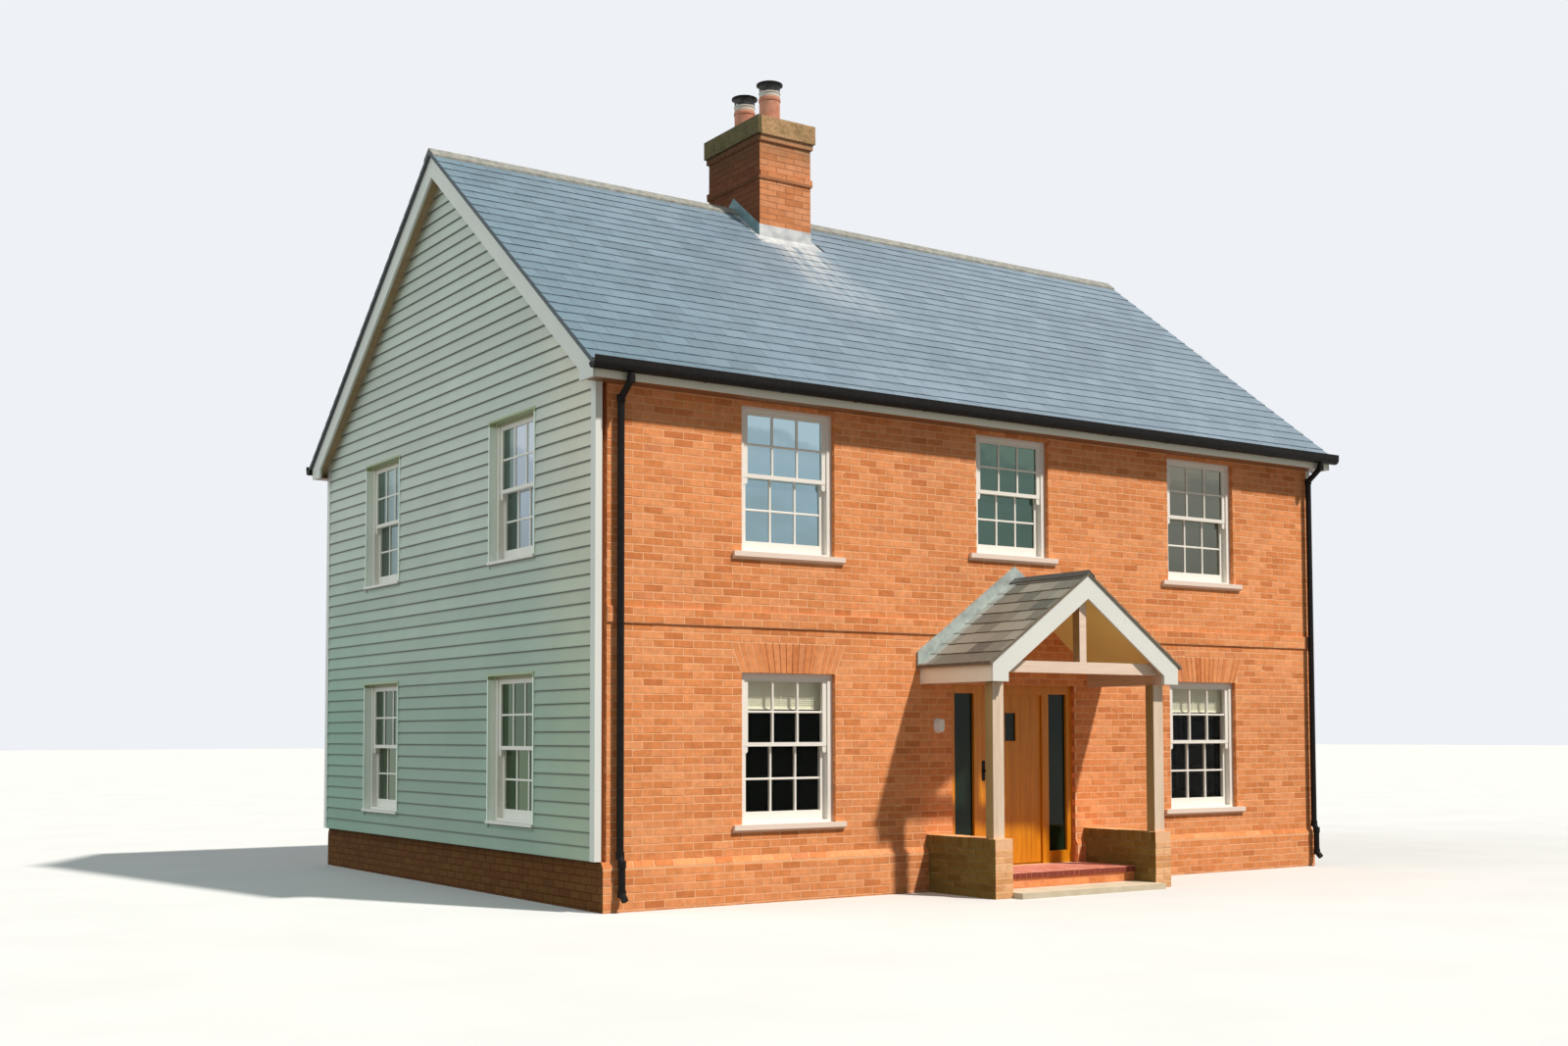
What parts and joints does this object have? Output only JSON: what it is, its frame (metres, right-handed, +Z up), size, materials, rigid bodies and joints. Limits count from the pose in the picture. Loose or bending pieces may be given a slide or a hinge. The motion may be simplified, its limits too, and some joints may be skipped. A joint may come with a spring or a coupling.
{
  "type": "detached house",
  "caption": "Two-storey brick house with boarded gables, slate roof, ridge chimney, sash windows and an oak-framed porch whose front door opens.",
  "frame": {"origin": "middle of the brick walls' footprint on the ground, on the underside of the ground floor", "axes": "+X right along the front wall, +Y towards the back, +Z up"},
  "size_m": [10.566, 8.975, 9.8088],
  "materials": {
    "brick": "facing brick, matt",
    "weatherboard": "painted boards, satin",
    "white_paint": "painted timber, satin",
    "cream_paint": "painted timber, satin",
    "oak": "weathered oak",
    "door_oak": "varnished oak",
    "slate": "natural slate, matt",
    "porch_slate": "natural slate, matt",
    "ridge_lead": "ridge tile and dressed lead, matt",
    "iron": "black gloss paint",
    "stone": "sawn stone, matt",
    "window_glass": "clear",
    "dark_glass": "tinted",
    "terracotta": "unglazed clay",
    "lamp_white": "opal"
  },
  "bodies": {
    "house": {"ground_floor": "stone", "first_floor": "oak", "front_wall_left": "brick", "front_wall_right": "brick", "front_wall_over_door": "brick", "back_wall": "brick", "left_gable_wall": "brick", "right_gable_wall": "brick", "gable_plinths": "brick", "left_weatherboards": "weatherboard", "right_weatherboards": "weatherboard", "corner_boards": "white_paint", "front_roof_slope": "oak", "back_roof_slope": "oak", "front_slates": "slate", "back_slates": "slate", "ridge_tiles": "ridge_lead", "bargeboards": "white_paint", "fascias": "cream_paint", "gutters": "iron", "downpipes": "iron", "chimney_stack": "brick", "chimney_cap": "stone", "chimney_pots": "terracotta", "chimney_cowls": "iron", "cowl_legs": "iron", "chimney_flashing": "ridge_lead", "window_arches": "brick", "window_frames": "white_paint", "window_linings": "white_paint", "upper_sashes": "white_paint", "lower_sashes": "white_paint", "window_glass": "window_glass", "door_frame": "door_oak", "sidelight_glass": "dark_glass", "door_hinges": "iron", "door_step": "brick", "porch_floor": "stone", "porch_walls": "brick", "porch_posts": "oak", "porch_plates": "oak", "porch_truss": "oak", "porch_roof_boards": "cream_paint", "porch_slates": "porch_slate", "porch_ridge": "ridge_lead", "porch_bargeboards": "white_paint", "porch_fascias": "cream_paint", "porch_flashing": "ridge_lead", "wall_lamp": "lamp_white"},
    "door": {"front_door": "door_oak", "door_glass": "dark_glass", "door_handle": "iron"}
  },
  "joints": [
    {"name": "front_door_hinge", "type": "hinge", "parent": "house", "child": "door", "pos_m": [0.552, -3.5707, 0], "axis": [0, 0, 1], "range_deg": [-90, 0]}
  ]
}
